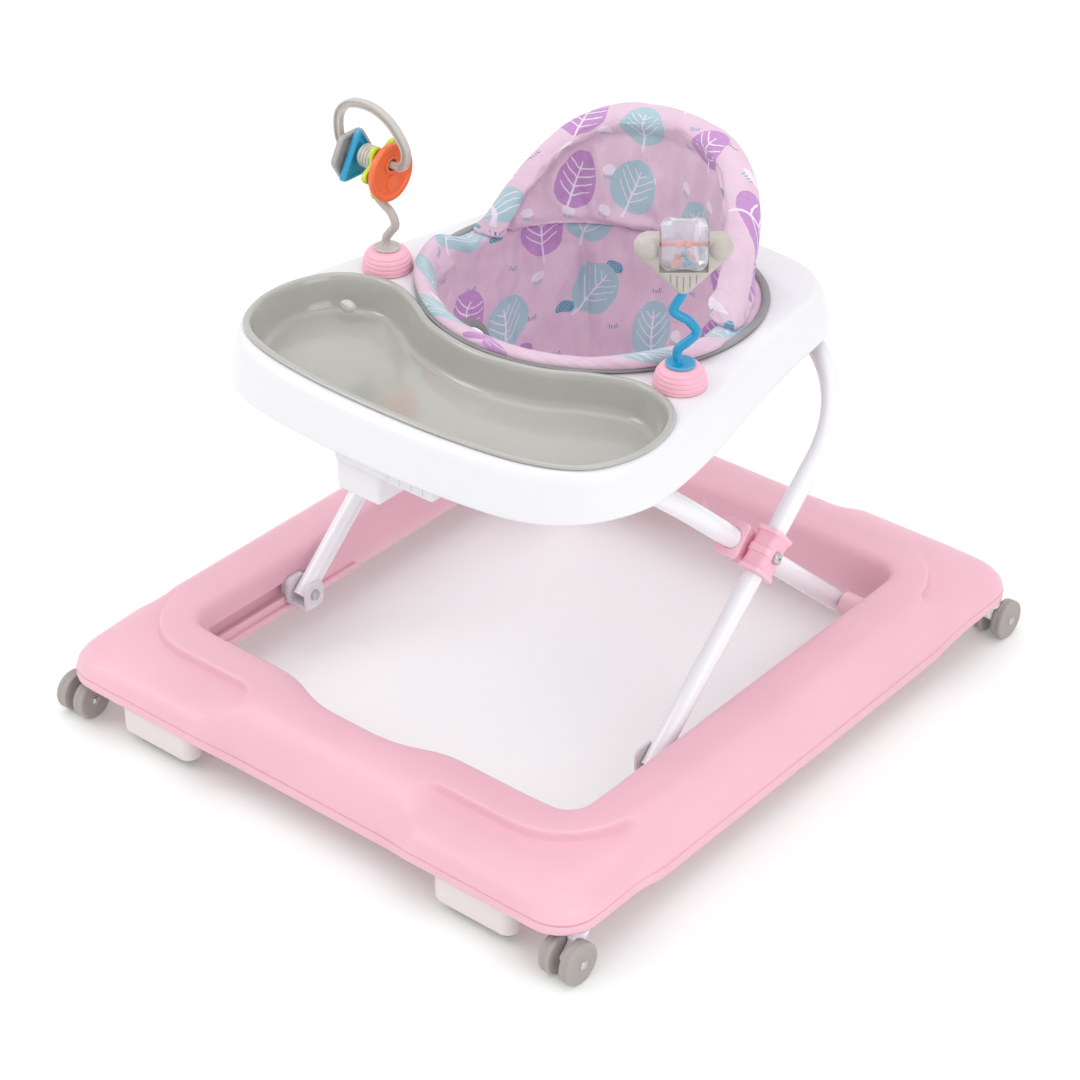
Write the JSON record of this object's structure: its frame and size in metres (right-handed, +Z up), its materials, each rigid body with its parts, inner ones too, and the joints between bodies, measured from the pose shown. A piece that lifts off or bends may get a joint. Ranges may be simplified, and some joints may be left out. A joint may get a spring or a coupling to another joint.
{
  "type": "baby walker",
  "caption": "Folding baby walker: castor base ring, crossed U-shaped legs, tray with lift-off snack tray, padded fabric seat with backrest and two toys on stems.",
  "frame": {"origin": "on the floor under the middle of the footprint", "axes": "+Z up, +Y to the back where the backrest is, +X to the rattle's side"},
  "size_m": [0.6362, 0.711, 0.5606],
  "materials": {
    "base_pink": "satin",
    "clamp_pink": "satin",
    "tray_white": "gloss",
    "leg_white": "gloss",
    "snack_grey": "gloss",
    "steel": "brushed",
    "wheel_grey": "satin",
    "rubber": "matte",
    "stopper_white": "satin",
    "seat_fabric": "printed weave",
    "binding_grey": "woven tape",
    "board": "matte",
    "toy_grey": "satin",
    "ring_grey": "satin",
    "toy_blue": "gloss",
    "toy_lime": "gloss",
    "toy_orange": "gloss",
    "drum_clear": "clear gloss",
    "toy_coral": "gloss"
  },
  "bodies": {
    "base": {"base_frame": "base_pink", "stopper_front_left": "stopper_white", "stopper_front_right": "stopper_white", "stopper_rear_left": "stopper_white", "stopper_rear_right": "stopper_white", "stopper_pad_front_left": "rubber", "stopper_pad_front_right": "rubber", "stopper_pad_rear_left": "rubber", "stopper_pad_rear_right": "rubber", "rear_pin_left": "steel", "rear_pin_right": "steel"},
    "inner_leg": {"inner_leg_tube": "leg_white", "pivot_clamp_inner_left": "clamp_pink", "pivot_clamp_inner_right": "clamp_pink", "pivot_screw_left": "steel", "pivot_screw_right": "steel"},
    "outer_leg": {"outer_leg_tube": "leg_white", "pivot_clamp_outer_left": "clamp_pink", "pivot_clamp_outer_right": "clamp_pink"},
    "tray": {"tray_body": "tray_white", "slide_housing": "tray_white", "seat_rim": "binding_grey", "seat_sling": "seat_fabric", "backrest_pad": "seat_fabric", "backrest_board": "board", "toy_dome_left": "clamp_pink", "toy_dome_right": "clamp_pink"},
    "snack_tray": {"snack_tray": "snack_grey"},
    "latch": {"height_latch": "toy_grey"},
    "loop_toy": {"loop_stem": "toy_grey", "loop_handle": "toy_grey"},
    "rattle_toy": {"rattle_stem": "toy_blue", "rattle_holder": "toy_grey", "rattle_axle": "toy_coral"},
    "drum": {"rattle_drum": "drum_clear"},
    "hexagon": {"hexagon_ring": "ring_grey"},
    "triangle": {"triangle_ring": "toy_blue"},
    "flower": {"flower_ring": "toy_lime"},
    "disc": {"disc_ring": "toy_orange"},
    "foot_left": {"sliding_foot_left": "tray_white", "foot_rivet_left": "steel"},
    "foot_right": {"sliding_foot_right": "tray_white", "foot_rivet_right": "steel"},
    "castor_front_left": {"castor_fork_front_left": "tray_white"},
    "wheels_front_left": {"castor_axle_front_left": "steel", "castor_wheel_front_left_a": "wheel_grey", "castor_wheel_front_left_b": "wheel_grey"},
    "castor_front_right": {"castor_fork_front_right": "tray_white"},
    "wheels_front_right": {"castor_axle_front_right": "steel", "castor_wheel_front_right_a": "wheel_grey", "castor_wheel_front_right_b": "wheel_grey"},
    "castor_rear_left": {"castor_fork_rear_left": "tray_white"},
    "wheels_rear_left": {"castor_axle_rear_left": "steel", "castor_wheel_rear_left_a": "wheel_grey", "castor_wheel_rear_left_b": "wheel_grey"},
    "castor_rear_right": {"castor_fork_rear_right": "tray_white"},
    "wheels_rear_right": {"castor_axle_rear_right": "steel", "castor_wheel_rear_right_a": "wheel_grey", "castor_wheel_rear_right_b": "wheel_grey"}
  },
  "joints": [
    {"name": "fold", "type": "hinge", "parent": "base", "child": "inner_leg", "pos_m": [0, 0.207, 0.059], "axis": [1, 0, 0], "range_deg": [0, 27]},
    {"name": "leg_crossing", "type": "hinge", "parent": "inner_leg", "child": "outer_leg", "pos_m": [0, 0.047, 0.203], "axis": [1, 0, 0], "range_deg": [-54, 0]},
    {"name": "tray_level", "type": "hinge", "parent": "outer_leg", "child": "tray", "pos_m": [0, 0.207, 0.347], "axis": [1, 0, 0], "range_deg": [0, 27]},
    {"name": "foot_pivot_left", "type": "hinge", "parent": "outer_leg", "child": "foot_left", "pos_m": [-0.217, -0.113, 0.059], "axis": [1, 0, 0], "range_deg": [0, 27]},
    {"name": "foot_pivot_right", "type": "hinge", "parent": "outer_leg", "child": "foot_right", "pos_m": [0.217, -0.113, 0.059], "axis": [1, 0, 0], "range_deg": [0, 27]},
    {"name": "swivel_front_left", "type": "hinge", "parent": "base", "child": "castor_front_left", "pos_m": [-0.299, -0.322, 0.04], "axis": [0, 0, 1], "continuous": true},
    {"name": "roll_front_left", "type": "hinge", "parent": "castor_front_left", "child": "wheels_front_left", "pos_m": [-0.299, -0.336, 0.02], "axis": [1, 0, 0], "continuous": true},
    {"name": "swivel_front_right", "type": "hinge", "parent": "base", "child": "castor_front_right", "pos_m": [0.299, -0.322, 0.04], "axis": [0, 0, 1], "continuous": true},
    {"name": "roll_front_right", "type": "hinge", "parent": "castor_front_right", "child": "wheels_front_right", "pos_m": [0.299, -0.336, 0.02], "axis": [1, 0, 0], "continuous": true},
    {"name": "swivel_rear_left", "type": "hinge", "parent": "base", "child": "castor_rear_left", "pos_m": [-0.299, 0.322, 0.04], "axis": [0, 0, 1], "continuous": true},
    {"name": "roll_rear_left", "type": "hinge", "parent": "castor_rear_left", "child": "wheels_rear_left", "pos_m": [-0.299, 0.336, 0.02], "axis": [1, 0, 0], "continuous": true},
    {"name": "swivel_rear_right", "type": "hinge", "parent": "base", "child": "castor_rear_right", "pos_m": [0.299, 0.322, 0.04], "axis": [0, 0, 1], "continuous": true},
    {"name": "roll_rear_right", "type": "hinge", "parent": "castor_rear_right", "child": "wheels_rear_right", "pos_m": [0.299, 0.336, 0.02], "axis": [1, 0, 0], "continuous": true},
    {"name": "snack_tray_lift", "type": "slide", "parent": "tray", "child": "snack_tray", "axis": [0, 0, 1], "range_m": [0, 0.06]},
    {"name": "latch_press", "type": "slide", "parent": "tray", "child": "latch", "axis": [0, 0, 1], "range_m": [0, 0.008], "stiffness_N_per_m": 300, "springref_m": -0.003},
    {"name": "loop_toy_turn", "type": "hinge", "parent": "tray", "child": "loop_toy", "pos_m": [-0.1714, -0.0288, 0.417], "axis": [0, 0, 1], "range_deg": [-90, 90]},
    {"name": "rattle_toy_turn", "type": "hinge", "parent": "tray", "child": "rattle_toy", "pos_m": [0.1714, -0.0288, 0.417], "axis": [0, 0, 1], "range_deg": [-90, 90]},
    {"name": "hexagon_swing", "type": "hinge", "parent": "loop_toy", "child": "hexagon", "pos_m": [-0.2124, -0.0288, 0.505], "axis": [1, 0, 0], "continuous": true},
    {"name": "triangle_swing", "type": "hinge", "parent": "loop_toy", "child": "triangle", "pos_m": [-0.2024, -0.0288, 0.505], "axis": [1, 0, 0], "continuous": true},
    {"name": "flower_swing", "type": "hinge", "parent": "loop_toy", "child": "flower", "pos_m": [-0.1724, -0.0288, 0.505], "axis": [1, 0, 0], "continuous": true},
    {"name": "disc_swing", "type": "hinge", "parent": "loop_toy", "child": "disc", "pos_m": [-0.1644, -0.0288, 0.505], "axis": [1, 0, 0], "range_deg": [-120, 120]},
    {"name": "drum_spin", "type": "hinge", "parent": "rattle_toy", "child": "drum", "pos_m": [0.1714, -0.0288, 0.534], "axis": [0.766, 0.6428, 0], "continuous": true}
  ],
  "couplings": [
    {"joint": "leg_crossing", "follows": "fold", "ratio": -2},
    {"joint": "tray_level", "follows": "fold", "ratio": 1},
    {"joint": "foot_pivot_left", "follows": "fold", "ratio": 1},
    {"joint": "foot_pivot_right", "follows": "fold", "ratio": 1}
  ]
}
